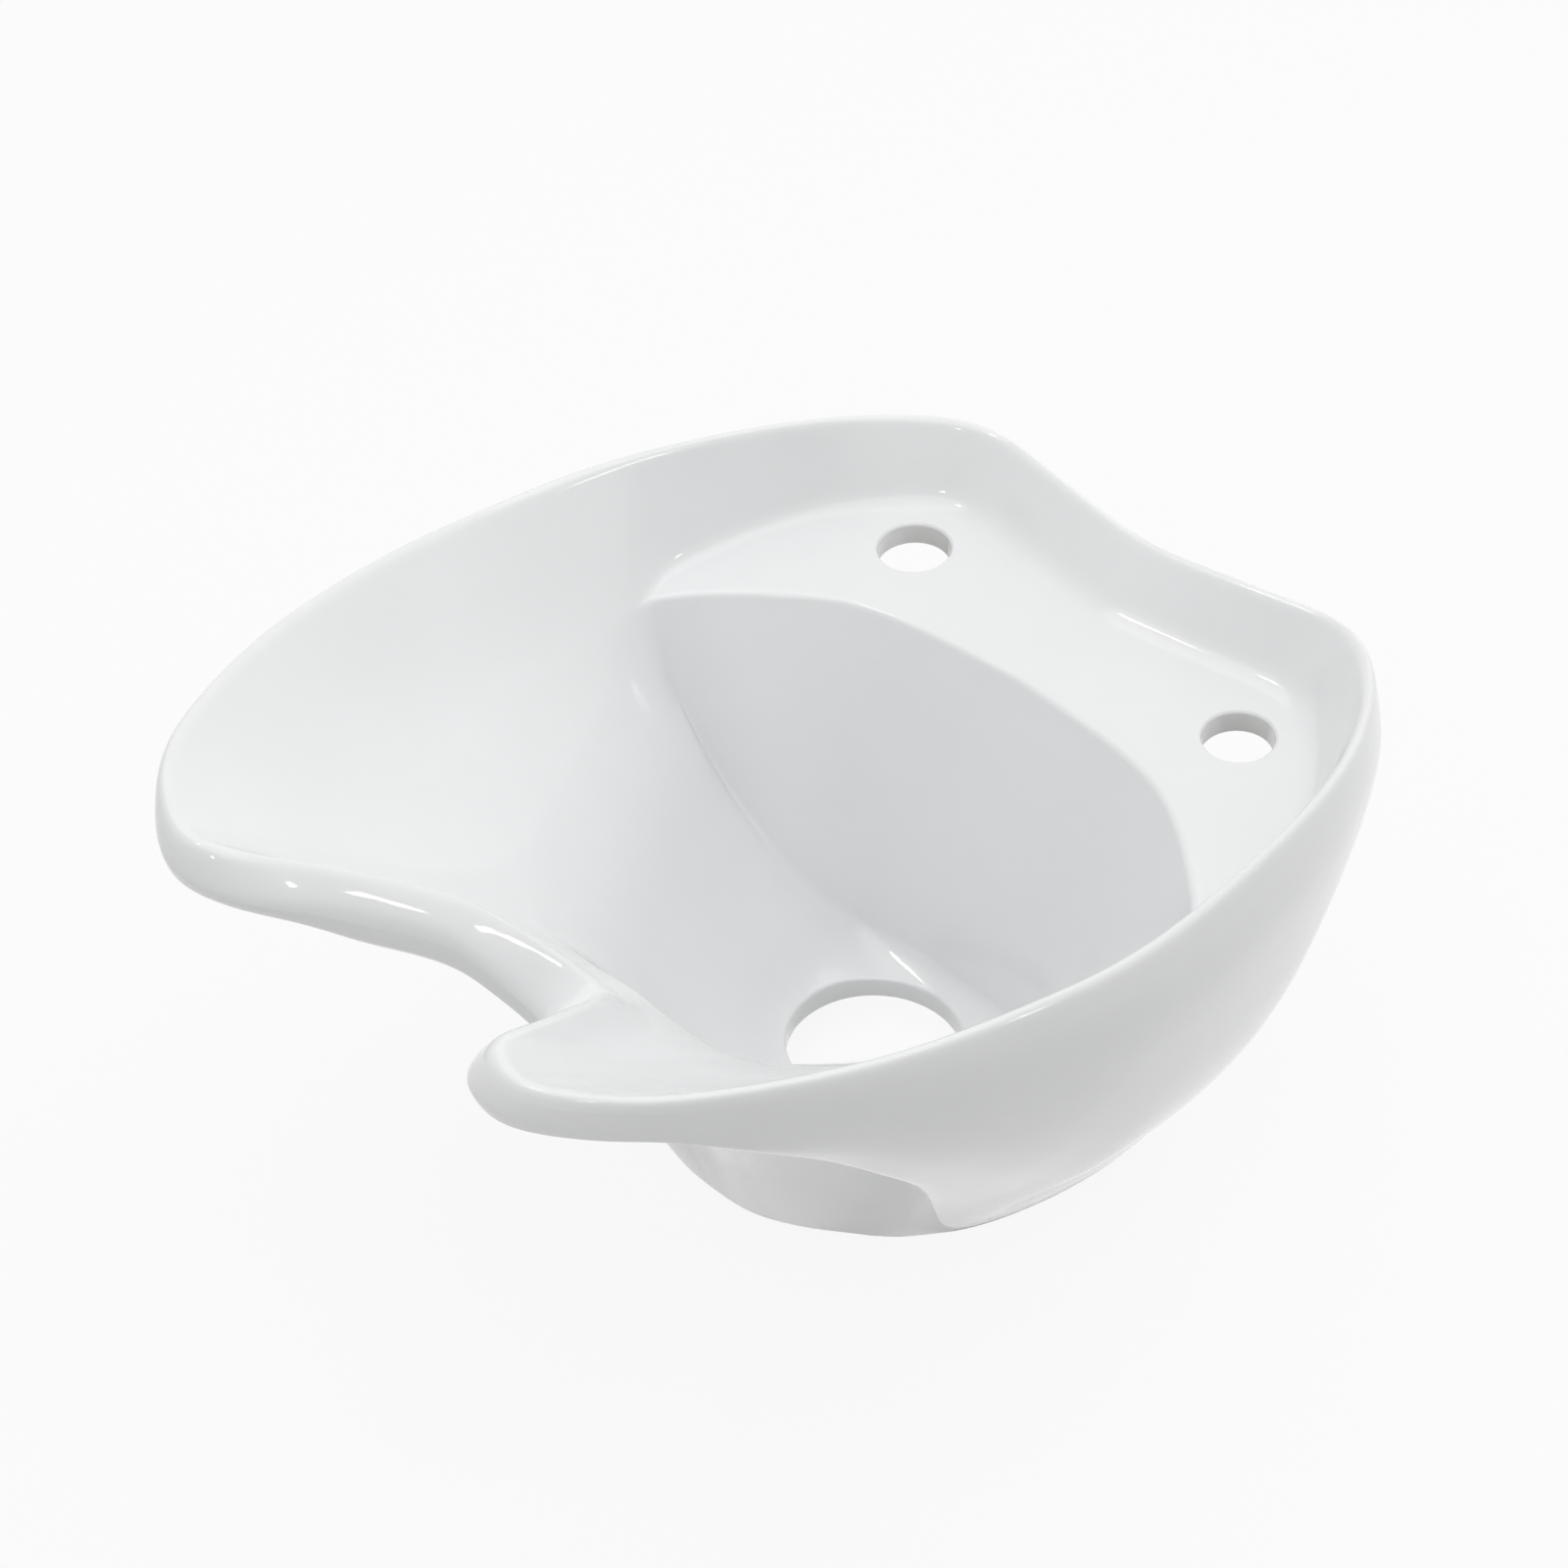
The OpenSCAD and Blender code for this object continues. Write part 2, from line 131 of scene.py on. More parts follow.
# Corners with a flat face before them, which gets a point near each end so that it shades flat.
FLAT_BEFORE = (5, 6, 8, 9)
FLAT_END = 2.5
# Rows of the floor above and below, from the bore outwards, and how many of them turn its edge.
ROWS_ABOVE, ROWS_BELOW = 23, 17
EDGE_ROWS = 8
# Points of the floor's lines where the bore cuts them, above and below, and the chords that
# turn each line into the bore.
CUT_ABOVE, CUT_BELOW = 22, 14
TURN_ABOVE, TURN_BELOW = 6, 4
# How the points crowd toward the bore: in the first cut, then past its edge.
CUT_CROWD, EDGE_CROWD = 1.3, 1.4
# Passes that smooth the funnel's rows beside the tip of the shelf, then the whole shell.
FLOW_PASSES, RELAX_PASSES = 70, 5


# The basin's shape.


def guide(rows, u):
    """Points of a guide curve at stations u, by cubic interpolation at uneven spacing."""
    rows = np.array(rows, float)
    k, p = rows[:, 0], rows[:, 1:]
    u = np.clip(u, k[0], k[-1])
    gap = np.diff(k)[:, None]
    chord = np.diff(p, axis=0) / gap
    rate = np.zeros_like(p)
    rate[1:-1] = (chord[:-1] * gap[1:] + chord[1:] * gap[:-1]) / (gap[1:] + gap[:-1])
    rate[0] = 1.5 * chord[0] - 0.5 * rate[1] if len(p) > 2 else chord[0]
    rate[-1] = 1.5 * chord[-1] - 0.5 * rate[-2] if len(p) > 2 else chord[-1]
    i = np.clip(np.searchsorted(k, u, "right") - 1, 0, len(k) - 2)
    h = gap[i]
    t = (u - k[i])[:, None] / h
    return (
        (1 + t * t * (2 * t - 3)) * p[i] + t * (1 - t) ** 2 * h * rate[i]
        + t * t * (3 - 2 * t) * p[i + 1] + t * t * (t - 1) * h * rate[i + 1]
    )


def ease(u, a, b):
    """Smooth step from 0 to 1 as u goes from a to b, as a column."""
    t = np.clip((u - a) / (b - a), 0, 1)
    return (t * t * (3 - 2 * t))[:, None]


def mix(a, b, t):
    """From a to b as t goes from 0 to 1."""
    return a + (b - a) * t


def unit(v):
    """Vectors brought to length 1."""
    return v / np.maximum(np.linalg.norm(v, axis=-1, keepdims=True), 1e-9)


def dot(a, b):
    """Products of the rows of a and b, as a column."""
    return np.sum(a * b, axis=1, keepdims=True)


def legs(a, b, c, t):
    """Along a to b while t is under 1, then along b to c."""
    return np.where(t < 1, mix(a, b, t), mix(b, c, t - 1))


def lip_curve(u):
    """The lip, carried on past both ends so that it crosses the centre plane squarely."""
    rows = np.array(LIP, float)
    front, rear = rows[4:0:-1] * [-1, -1, 1, 1], rows[-2:-4:-1] * [-1, -1, 1, 1]
    rear[:, 0] += 2 * LAST
    return guide(np.vstack([front, rows, rear]), u)


def on_shelf(plan):
    """Points of the sloping tap shelf above plan positions."""
    return np.column_stack([plan, SHELF_Z + (plan[:, 1] - TAP_Y) * math.tan(SHELF_SLOPE)])


def under(a, b, c, along_a, along_b):
    """Corners b moved out of the china by one wall, mitred between their two faces."""
    na = -unit(np.cross(unit(b - a), along_a))
    nb = -unit(np.cross(unit(c - b), along_b))
    return b + WALL * (na + nb) / np.maximum(0.45, 1 + np.sum(na * nb, 1, keepdims=True))


def corners(u):
    """Corners of the sections at stations u: for each its points, rounding, chords and glaze."""
    rear = (u >= TIP)[:, None]
    lip = lip_curve(u)
    along = unit((lip_curve(u + 0.02) - lip_curve(u - 0.02)) * [1, 1, 0])
    square = np.column_stack([along[:, 1], -along[:, 0], 0 * u])
    out = unit(mix(np.array([0.0, -1.0, 0.0]), square, ease(u, 0, 1.6)))

    # The upper side, from the floor out to the lip.
    bearing = np.radians(guide(FLOOR_BEARING, u)[:, 0])
    radius = guide(FLOOR_RADIUS, u)[:, 0]
    centre = np.tile([0, 0, FLOOR_Z], (len(u), 1))
    floor_edge = np.column_stack([radius * np.sin(bearing), -radius * np.cos(bearing), FLOOR_Z + 0 * u])
    brow = np.where(rear, on_shelf(guide(BROW, u)), guide(WING, u))
    side_of_shelf = ease(-u, -TIP, -6)
    width = np.linalg.norm(lip - brow, axis=1, keepdims=True)
    wing_hollow, full_width = 7, 90
    wing = mix(brow, lip, 0.05 + 0.4 * side_of_shelf)
    wing = wing - wing_hollow * side_of_shelf * np.minimum(width / full_width, 1) * UP
    shelf_back = np.where(rear, on_shelf(guide(SHELF_BACK, u)), wing)
    mid = guide(FUNNEL, u)
    crease = np.where(rear, guide(CREASE, u), guide(RIDGE, u))

    # The outside: band, skirt and foot.
    bulge, band = guide(BULGE, u), guide(BAND, u)
    side = lip + bulge[:, :1] * out - bulge[:, 1:] * UP
    base = guide(BASE, u)
    base[:, 2] = np.maximum(base[:, 2], 0)
    turn = guide(BASE, u + 0.1) - guide(BASE, u - 0.1)
    base_out = np.where((u > 9.9)[:, None], out, unit(np.column_stack([turn[:, 1], -turn[:, 0], 0 * u])))
    foot, close = ease(u, 8.1, 8.6), ease(u, 5.8, 7.8)
    band_edge = lip + band[:, :1] * out - band[:, 1:] * UP
    edge_front = np.where((u < 5)[:, None], band_edge, guide(SKIRT_EDGE, u))
    end = mix(edge_front, base, foot)
    belly = end + (side - end) * [0.74, 0.74, 0.44]
    # Past the skirt's leading edge, five corners stand in a row above the foot.
    in_row = [mix(belly, base, t) for t in (0.93, 0.945, 0.96, 0.975, 0.99)]
    edge = mix(edge_front, in_row[0], foot)
    edge_back = edge_front - 0.9 * WALL * (1 - 0.9 * ease(u, 7, 8.5)) * out + UP
    edge_in = mix(edge_back, in_row[1], foot)
    wing_under = lip - 4 * out - (WALL + 5) * UP
    pocket = mix(mix(wing_under, edge_back + 6 * UP, close), in_row[2], foot)
    base_in = base - WALL * base_out

    # The underside, with corners u_ one wall below the upper ones, and the apron that hangs from it.
    radial = unit(brow * [1, 1, 0])
    t_in = np.column_stack([-radial[:, 1], radial[:, 0], 0 * u])
    t_mid = unit(t_in + along)
    u_floor = under(centre, floor_edge, mid, t_in, t_in)
    u_mid = under(floor_edge, mid, crease, t_in, t_in)
    u_crease = under(mid, crease, brow, t_in, t_in)
    u_brow = under(crease, brow, shelf_back, t_in, t_mid)
    u_back = under(brow, shelf_back, lip, t_mid, along)
    junction = legs(u_mid, u_brow, wing_under, guide(APRON_REACH, u))
    apron = mix(junction, edge_back + 2 * UP - 3 * out, close)
    apron_top = mix(apron, in_row[3], foot)
    girth = mix(mix(base, apron, 0.5), in_row[4], foot)

    # The hollow behind the apron and the skirt.
    fall = unit(junction - base)
    inward = unit(u_mid - junction - fall * dot(u_mid - junction, fall))
    gap_mid, gap_brow = dot(u_mid - junction, inward), dot(u_brow - junction, inward)
    r = np.clip((gap_mid - 1.5 * WALL) / (gap_mid - gap_brow), 0.2, 0.92)
    inner_top = mix(u_mid, u_brow, r) - 0.5 * WALL * inward
    shelf_under = SHELF_Z - WALL + (side[:, 1:2] - WALL - TAP_Y) * math.tan(SHELF_SLOPE)
    skirt_z = mix(guide(HOLLOW_Z, u), shelf_under, ease(u, 9.4, 9.8))
    skirt_t = np.clip((side[:, 2:] - skirt_z) / (side[:, 2:] - belly[:, 2:]), 0, 1.2)
    skirt_top = mix(side, belly, skirt_t) - 1.1 * WALL * out
    skirt_top[:, 2:] = skirt_z
    at_skirt, low_skirt = ease(u, 7.4, 8.6), ease(u, 8.2, 8.9)
    hollow = mix(inner_top, skirt_top, at_skirt)
    soft = ease(-u, -TIP, -7.5)
    beyond = np.where((u > 9.6)[:, None], mix(skirt_top, u_brow, 0.1), u_back)
    inner_belly = mix(mix(base_in, hollow, 0.5), belly - 1.05 * WALL * out - 2 * UP, low_skirt)
    return [
        (centre, 0, 0, 1),
        (floor_edge, 12, FLOOR_CHORDS, 1),
        (mid, 40 - 25 * ease(u, TIP, 11), MID_CHORDS, 1),
        (crease, 5 + 40 * soft, 8, 1),
        (brow, 3 + 45 * soft, 8, 1),
        (shelf_back, np.where(rear, 9, 6 + 40 * soft), 8, 1),
        (lip, 4 + 3 * ease(-u, -1.5, 0), 6, 1),
        (lip + 5 * out + 0.3 * UP, 5, 6, 1),
        (side, 20 + 10 * ease(u, 6, 8), 8, 1),
        (belly, 50, 10, 1),
        (edge, 6 + 8 * ease(u, 6, 7.5), 5, 1),
        (edge_in, 5, 4, 1),
        (pocket, 7, 4, 1),
        (apron_top, 8, 4, 1),
        (girth, 25 - 15 * foot, 5, 1),
        (base, 3, 4, 1),
        (base_in, 3, 4, 1),
        (inner_belly, 50, 7, 0),
        (hollow, 6, 4, 0),
        (mix(mix(u_mid, u_brow, r), beyond, at_skirt), 3, 2, 0),
        (mix(mix(u_mid, u_brow, 0.8 * r), u_brow, at_skirt), 3, 2, 0),
        (mix(mix(u_mid, u_brow, 0.45 * r), u_crease, at_skirt), 6, 2, 0),
        (u_mid, 15, MID_UNDER_CHORDS, 0),
        (u_floor, 6, FLOOR_UNDER_CHORDS, 0),
        (centre - WALL * UP, 0, 0, 0),
    ]


def parabola(start, corner, end, t):
    """The point at t, from 0 to 1, on the parabola that rounds a corner."""
    return (1 - t) ** 2 * start + 2 * t * (1 - t) * corner + t * t * end


def rounded(before, corner, after, r, n):
    """Corners rounded by parabolas of n chords that start and end at most r away."""
    back = np.minimum(r, 0.49 * np.linalg.norm(before - corner, axis=1, keepdims=True))
    ahead = np.minimum(r, 0.49 * np.linalg.norm(after - corner, axis=1, keepdims=True))
    start, end = corner + unit(before - corner) * back, corner + unit(after - corner) * ahead
    return [parabola(start, corner, end, t) for t in np.linspace(0, 1, n + 1)]


def points_along(line, shares):
    """Points at the given shares of the line's length."""
    run = np.concatenate([[0], np.cumsum(np.linalg.norm(np.diff(line, axis=0), axis=1))])
    return np.column_stack([np.interp(run[-1] * shares, run, line[:, k]) for k in range(3)])


def bored(line, count):
    """A line from the axis outwards, cut where it meets the waste hole and redrawn in count points.

    The points crowd toward the cut, where the glaze turns into the bore."""
    reach = np.hypot(line[:, 0], line[:, 1])
    i = int(np.argmax(reach > WASTE_R))
    cut = mix(line[i - 1], line[i], (WASTE_R - reach[i - 1]) / (reach[i] - reach[i - 1]))
    cut[:2] *= WASTE_R / np.hypot(*cut[:2])
    return points_along(np.vstack([cut, line[i:]]), np.linspace(0, 1, count) ** CUT_CROWD)


def turned_edge(line, wall_end, r, n):
    """The line's first point rounded into the bore's wall, which goes on to wall_end."""
    run = np.linalg.norm(line - line[0], axis=1)
    past = int(np.argmax(run >= r))
    start = mix(line[past - 1], line[past], (r - run[past - 1]) / (run[past] - run[past - 1]))
    into = line[0] + unit(wall_end - line[0]) * r
    return np.vstack([parabola(into, line[0], start, np.linspace(0, 1, n + 1)[:, None]), line[past:]])


def resample(line, count):
    """The line in count points, keeping the first ones, which shape the bore's edge."""
    shares = np.linspace(0, 1, count - EDGE_ROWS + 1) ** EDGE_CROWD
    return np.vstack([line[:EDGE_ROWS - 1], points_along(line[EDGE_ROWS - 1:], shares)])


def outlines(plan):
    """The sections drawn through their corners, point by point, and how far each point is glazed."""
    points, glaze = [plan[0][0]], [1.0]
    for number, (before, (corner, r, n, glazed), after) in enumerate(zip(plan, plan[1:], plan[2:]), 1):
        turn = rounded(before[0], corner, after[0], r, n)
        if number in FLAT_BEFORE:
            gap = turn[0] - points[-1]
            step = unit(gap) * np.minimum(0.25 * np.linalg.norm(gap, axis=1, keepdims=True), FLAT_END)
            points += [points[-1] + step, turn[0] - step]
            glaze += [glazed, glazed]
        points += turn
        glaze += [glazed] * (n + 1)
    return points + [plan[-1][0]], glaze + [0.0]


def half_sections(u, edge_r):
    """Closed sections at stations u, and how far each of their points is glazed."""
    points, glaze = outlines(corners(u))
    funnel = 1 + (FLOOR_CHORDS + 1)
    head = funnel + (MID_CHORDS + 1)
    tail = (MID_UNDER_CHORDS + 1) + (FLOOR_UNDER_CHORDS + 1) + 1
    shares = np.linspace(0, 1, SPARE_ROWS + 2)[1:-1]
    points[head:head] = [mix(points[head - 1], points[head], t) for t in shares]
    glaze[head:head] = [1.0] * SPARE_ROWS
    wall = slice(funnel, head + SPARE_ROWS + 1)
    rings = []
    for ring in np.stack(points, 1):
        ring[wall] = points_along(ring[wall], np.linspace(0, 1, len(ring[wall])))
        top, bottom = bored(ring[:head], CUT_ABOVE), bored(ring[::-1][:tail], CUT_BELOW)
        above = resample(turned_edge(top, bottom[0], edge_r, TURN_ABOVE), ROWS_ABOVE)
        below = resample(turned_edge(bottom, top[0], edge_r / 2, TURN_BELOW), ROWS_BELOW)
        rings.append(np.vstack([above, ring[head:-tail], below[::-1]]))
    turned = TURN_BELOW + 1
    glaze = [1.0] * ROWS_ABOVE + glaze[head:-tail] + [0.0] * (ROWS_BELOW - turned) + [1.0] * turned
    return np.array(rings), np.array(glaze)


def flowing(rings, start, stop):
    """The funnel's rows smoothed round the rim beside the tip of the shelf.

    The smoothing fades out toward row start near the bore and row stop at the crease."""
    fade_in, fade_out, pull = 6, 5, 0.25
    rows = np.arange(rings.shape[1])
    share = np.clip((rows - start) / fade_in, 0, 1) * np.clip((stop - rows) / fade_out, 0, 1)
    u = np.abs((np.arange(len(rings)) / len(rings) * 2 * LAST + LAST) % (2 * LAST) - LAST)
    beside_tip = ease(-np.abs(u - TIP - 0.4), -2.2, -1.0)
    share = (share * share * (3 - 2 * share))[None, :, None] * beside_tip[:, :, None] * pull
    for _ in range(FLOW_PASSES):
        near = np.roll(rings, 1, 0) + np.roll(rings, -1, 0)
        rings = rings + share * (near - 2 * rings)
    return rings


def relaxed(rings):
    """The rings' points drawn toward the chords between their neighbours, so that faces flow together."""
    for _ in range(RELAX_PASSES):
        for axis in (0, 1):
            back, ahead = np.roll(rings, 1, axis), np.roll(rings, -1, axis)
            a = np.linalg.norm(rings - back, axis=2, keepdims=True)
            b = np.linalg.norm(ahead - rings, axis=2, keepdims=True)
            chord = mix(back, ahead, a / np.maximum(a + b, 1e-9))
            rings = mix(rings, chord, 0.5)
    return rings


def shell_mesh(per_station, edge_r):
    """Points, faces and glaze of the shell, lofted round the rim through both halves."""
    u = np.linspace(0, LAST, LAST * per_station + 1)
    right, glaze = half_sections(u, edge_r)
    right[[0, -1], :, 0] = 0
    rings = np.concatenate([right, right[-2:0:-1] * [-1, 1, 1]])
    flat = rings[:, :, 2] <= 0.001
    rings = relaxed(flowing(rings, EDGE_ROWS + 1, ROWS_ABOVE + SPARE_ROWS))
    rings[flat, 2] = 0
    rings[:, :, 2] = np.maximum(rings[:, :, 2], 0)
    n, m = rings.shape[:2]
    here = np.arange(n * m).reshape(n, m)
    onward = np.roll(here, -1, 0)
    quads = np.stack([np.roll(here, -1, 1), np.roll(onward, -1, 1), onward, here], -1).reshape(-1, 4)
    return rings.reshape(-1, 3), quads, np.tile(glaze, n)


def lathe(profile, count, place=(0, 0)):
    """Points and faces of a profile of (radius, height) turned about an upright axis.

    The profile runs with the material on its left; points on the axis stay single."""
    points, rows = [], []
    for r, z in profile:
        if r == 0:
            rows.append([len(points)] * count)
            points.append((place[0], place[1], z))
            continue
        rows.append(list(range(len(points), len(points) + count)))
        for k in range(count):
            a = 2 * math.pi * k / count
            points.append((place[0] + r * math.cos(a), place[1] + r * math.sin(a), z))
    faces = []
    for low, high in zip(rows, rows[1:]):
        for k in range(count):
            ring = [low[k], low[(k + 1) % count], high[(k + 1) % count], high[k]]
            face = [v for n, v in enumerate(ring) if v not in ring[:n]]
            if len(face) > 2:
                faces.append(face)
    return np.array(points, float), faces


def box_mesh(low, high):
    """Points and faces of an upright box."""
    (x0, y0, z0), (x1, y1, z1) = low, high
    points = [(x, y, z) for z in (z0, z1) for x, y in ((x0, y0), (x1, y0), (x1, y1), (x0, y1))]
    sides = [(k, (k + 1) % 4, (k + 1) % 4 + 4, k + 4) for k in range(4)]
    return np.array(points, float), [(3, 2, 1, 0), (4, 5, 6, 7), *sides]


def arc(centre, r, start, end, n):
    """Profile points on an arc, with its angles in degrees."""
    angles = np.radians(np.linspace(start, end, n + 1))
    return [(centre[0] + r * math.cos(a), centre[1] + r * math.sin(a)) for a in angles]


# Objects made from points and faces.


def new_object(name, parts, material):
    """A smooth-shaded object made of several sets of points and faces, in millimetres."""
    points, faces, start = [], [], 0
    for some_points, some_faces in parts:
        points.append(some_points)
        faces += [[int(v) + start for v in face] for face in some_faces]
        start += len(some_points)
    mesh = bpy.data.meshes.new(name)
    mesh.from_pydata((np.vstack(points) * MM).tolist(), [], faces)
    mesh.validate()
    mesh.shade_smooth()
    mesh.materials.append(material)
    made = bpy.data.objects.new(name, mesh)
    bpy.context.collection.objects.link(made)
    return made


def applied(obj):
    """The object's modifiers worked into its mesh, and taken off."""
    graph = bpy.context.evaluated_depsgraph_get()
    mesh = bpy.data.meshes.new_from_object(obj.evaluated_get(graph))
    obj.modifiers.clear()
    old, obj.data = obj.data, mesh
    bpy.data.meshes.remove(old)
    return obj


def tap_hole_cutter(x, r, edge_r):
    """A plug with a trumpet mouth, which cuts a tap hole down through the shelf."""
    mouth, past, depth, top = math.radians(52), 4, 40, 6
    slope = math.pi / 2 - mouth
    profile = [(0, -depth), (r, -depth), (r, -edge_r)]
    profile += [(r + edge_r * (1 - math.cos(a)), -edge_r + edge_r * math.sin(a))
                for a in np.linspace(0, mouth, 11)[1:]]
    lip_r, lip_z = profile[-1]
    profile.append((lip_r + past * math.cos(slope), lip_z + past * math.sin(slope)))
    profile += [(lip_r + past, top), (0, top)]
    points, faces = lathe(profile, 96, (x, TAP_Y))
    points[:, 2] += SHELF_Z + (points[:, 1] - TAP_Y) * math.tan(SHELF_SLOPE)
    return points, faces


def cut_out(obj, parts, name):
    """Cuts closed shapes out of an object."""
    tool = new_object(name, parts, obj.data.materials[0])
    cut = obj.modifiers.new(name, "BOOLEAN")
    cut.operation, cut.solver, cut.object = "DIFFERENCE", "EXACT", tool
    applied(obj)
    old = tool.data
    bpy.data.objects.remove(tool)
    bpy.data.meshes.remove(old)


# Materials.


class Wire:
    """A socket of a node tree that can be used in arithmetic."""

    def __init__(self, tree, socket):
        self.tree, self.socket = tree, socket

    def node(self, kind, settings=None, **inputs):
        """Adds a node with its settings and its sockets' values or links, and returns it.

        A socket goes by its name, with _ for a space, or by i and its number."""
        made = self.tree.nodes.new(kind)
        for key, value in (settings or {}).items():
            if key == "stops":
                while len(made.color_ramp.elements) < len(value):
                    made.color_ramp.elements.new(1)
                for stop, (at, colour) in zip(made.color_ramp.elements, value):
                    stop.position, stop.color = at, (*colour, 1)
            else:
                setattr(made, key, value)
        for key, value in inputs.items():
            socket = made.inputs[int(key[1:]) if key[1:].isdigit() else key.replace("_", " ")]
            if isinstance(value, Wire):
                self.tree.links.new(value.socket, socket)
            else:
                socket.default_value = value
        return made

    def out(self, made, name=0):
        return Wire(self.tree, made.outputs[name])

    def maths(self, operation, *values):
        numbered = {f"i{k}": value for k, value in enumerate(values)}
        return self.out(self.node("ShaderNodeMath", {"operation": operation}, **numbered))

    def __add__(self, other):
        return self.maths("ADD", self, other)

    def __radd__(self, other):
        return self.maths("ADD", other, self)

    def __sub__(self, other):
        return self.maths("SUBTRACT", self, other)

    def __rsub__(self, other):
        return self.maths("SUBTRACT", other, self)

    def __mul__(self, other):
        return self.maths("MULTIPLY", self, other)

    def __rmul__(self, other):
        return self.maths("MULTIPLY", other, self)

    def larger(self, other):
        return self.maths("MAXIMUM", self, other)

    def smooth(self, low, high):
        """0 below low, 1 above high, and eased between."""
        made = self.node("ShaderNodeMapRange", {"interpolation_type": "SMOOTHSTEP"}, Value=self,
                         From_Min=low, From_Max=high)
        return self.out(made)

    def blend(self, a, b):
        """Colour a where this is 0 and b where it is 1."""
        made = self.node("ShaderNodeMix", {"data_type": "RGBA"}, i0=self, i6=a, i7=b)
        return self.out(made, 2)


def rgba(colour):
    """A colour with full cover."""
    return (*colour, 1.0)


def new_material(name):
    """An empty material with its shader, a wire of its Object coordinates and the shader node."""
    material = bpy.data.materials.new(name)
    material.use_nodes = True
    tree = material.node_tree
    shader = tree.nodes["Principled BSDF"]
    place = tree.nodes.new("ShaderNodeTexCoord")
    return material, Wire(tree, place.outputs["Object"]), shader


def noise(place, scale, detail=2.0, rough=0.5):
    """Cloudy values round 0.5, with scale clouds to the metre."""
    made = place.node("ShaderNodeTexNoise", None, Vector=place, Scale=scale, Detail=detail, Roughness=rough)
    return place.out(made, "Fac")


def feed(shader, place, **wires):
    """Links wires to the shader's sockets, named with _ for a space."""
    for key, value in wires.items():
        place.tree.links.new(value.socket, shader.inputs[key.replace("_", " ")])


def bump(place, height):
    """The normal of a surface raised by height, in metres."""
    return place.out(place.node("ShaderNodeBump", None, Height=height, Distance=1.0, Strength=1.0))


def seen_white(tree):
    """1 where the camera looks, straight, in a reflection or through a thing, and 0 for light."""
    path = tree.nodes.new("ShaderNodeLightPath")
    camera, glossy, through = (Wire(tree, path.outputs["Is %s Ray" % kind])
                               for kind in ("Camera", "Glossy", "Transmission"))
    return camera.larger(glossy).larger(through)


def china_material(p):
    """White glaze over a warm body that is left bare on the foot and inside the casting."""
    material, place, shader = new_material("glazed_china")
    glaze = place.out(place.node("ShaderNodeAttribute", {"attribute_name": "glaze"}), "Fac")
    ragged = noise(place, 90.0, 3.0)
    high = place.out(place.node("ShaderNodeSeparateXYZ", None, Vector=place), "Z")
    wiped = (high + (ragged - 0.5) * 0.0016).smooth(0.0018, 0.003)
    covered = (glaze + (ragged - 0.5) * 0.3).smooth(0.35, 0.65) * wiped
    tone = noise(place, 14.0, 3.0).smooth(0.3, 0.7)
    glazed = tone.blend(rgba(p.glaze_colour), rgba([c * 0.985 for c in p.glaze_colour]))
    grain = noise(place, 900.0, 4.0, 0.7)
    bare = grain.blend(rgba([c * 0.9 for c in p.body_colour]), rgba(p.body_colour))
    smears = noise(place, 22.0, 3.0, 0.6)
    roughness = 0.72 - covered * (0.72 - p.glaze_roughness) + covered * (smears - 0.5) * 0.03
    ripple = noise(place, 34.0, 1.0) * p.ripple * MM
    peel = noise(place, 380.0, 1.0) * 0.0012 * MM
    grit = (1 - covered) * grain * 0.12 * MM
    feed(shader, place,
         Base_Color=covered.blend(bare, glazed),
         Roughness=roughness,
         Normal=bump(place, ripple + peel + grit))
    shader.inputs["IOR"].default_value = 1.52
    return material


def brass_material(p):
    """Turned brass, a little dulled."""
    material, place, shader = new_material("turned_brass")
    dull = noise(place, 160.0, 3.0)
    feed(shader, place,
         Base_Color=dull.blend(rgba(p.brass_colour), rgba([c * 0.72 for c in p.brass_colour])),
         Roughness=0.24 + dull * 0.22,
         Normal=bump(place, noise(place, 1400.0, 2.0) * 0.01 * MM))
    shader.inputs["Metallic"].default_value = 1.0
    return material


def resin_material(p):
    """Cast filler with fine grain in its colour, roughness and surface."""
    material, place, shader = new_material("bedding_resin")
    grain = noise(place, 1100.0, 4.0, 0.7)
    feed(shader, place,
         Base_Color=grain.blend(rgba([c * 0.8 for c in p.resin_colour]), rgba(p.resin_colour)),
         Roughness=0.5 + grain * 0.2,
         Normal=bump(place, grain * 0.08 * MM))
    return material


# What the user may change.


def length(name, description, default, low, high):
    return FloatProperty(name=name, description=description, default=default, min=low, max=high,
                         subtype="DISTANCE", unit="LENGTH")


def colour(name, description, default):
    return FloatVectorProperty(name=name, description=description, default=default, size=3, min=0, max=1,
                               subtype="COLOR")


class ChinaSettings(bpy.types.PropertyGroup):
    """Finish and fineness of the china."""

    stations: IntProperty(name="Sections", description="Sections drawn between two stations of the rim",
                          default=12, min=2, max=16)
    bore_edge: length("Bore edge", "Rounding of the glaze at the tap and waste holes",
                      0.0016, 0.0005, 0.004)
    glaze_colour: colour("Glaze", "Colour of the glaze", (0.83, 0.835, 0.84))
    body_colour: colour("Body", "Colour of the unglazed china", (0.79, 0.76, 0.70))
    glaze_roughness: FloatProperty(name="Gloss", description="Roughness of the glaze", default=0.07,
                                   min=0.0, max=1.0, subtype="FACTOR")
    ripple: FloatProperty(name="Ripple", description="Depth of the glaze's waves, in millimetres",
                          default=0.05, min=0.0, max=0.3)


